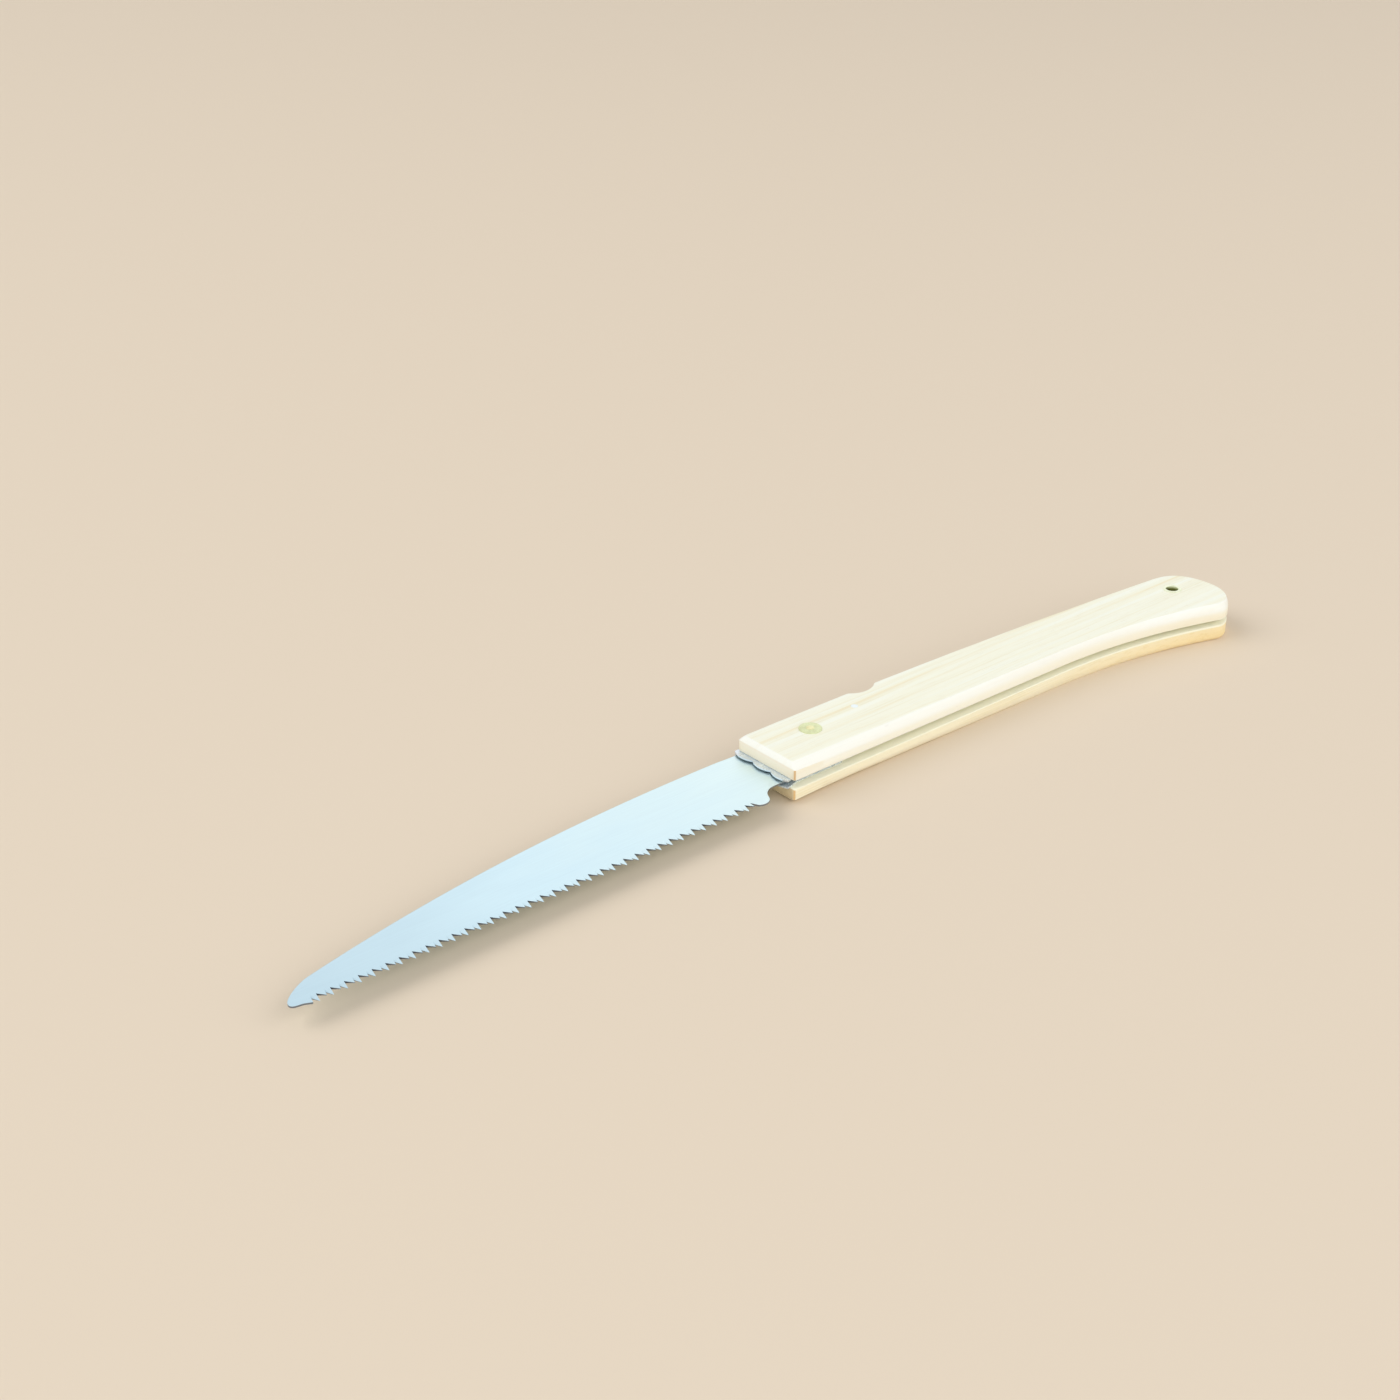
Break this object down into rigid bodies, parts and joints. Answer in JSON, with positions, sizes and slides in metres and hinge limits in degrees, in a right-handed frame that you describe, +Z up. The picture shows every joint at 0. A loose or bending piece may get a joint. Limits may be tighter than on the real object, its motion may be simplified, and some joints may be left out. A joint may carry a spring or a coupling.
{
  "type": "folding bonsai saw",
  "caption": "Slim folding pruning saw with a toothed steel blade that turns on a brass rivet into a slot in a two-scale wooden handle with a lanyard eyelet.",
  "frame": {"origin": "centre of the base of the bounding box, saw lying on its side with the blade open", "axes": "+X from the blade tip towards the butt of the handle, +Y towards the spine side, +Z up through the face with the rivet burr"},
  "size_m": [0.3722, 0.037, 0.0137],
  "materials": {
    "wood": "pale close-grained wood, sanded and lightly sealed",
    "blade_steel": "satin ground",
    "liner_steel": "bright sheet",
    "brass": "satin"
  },
  "bodies": {
    "handle": {"scale_top": "wood", "scale_bottom": "wood", "spacer": "wood", "liner": "liner_steel", "pivot_rivet": "brass", "rivet_burr": "brass", "pivot_washers": "brass", "liner_pins": "liner_steel", "lanyard_eyelet": "brass", "eyelet_washer": "brass"},
    "blade": {"saw_blade": "blade_steel"}
  },
  "joints": [
    {"name": "blade_fold", "type": "hinge", "parent": "handle", "child": "blade", "pos_m": [0.0056, 0.00718, 0.0066], "axis": [0, 0, 1], "range_deg": [0, 170]}
  ]
}
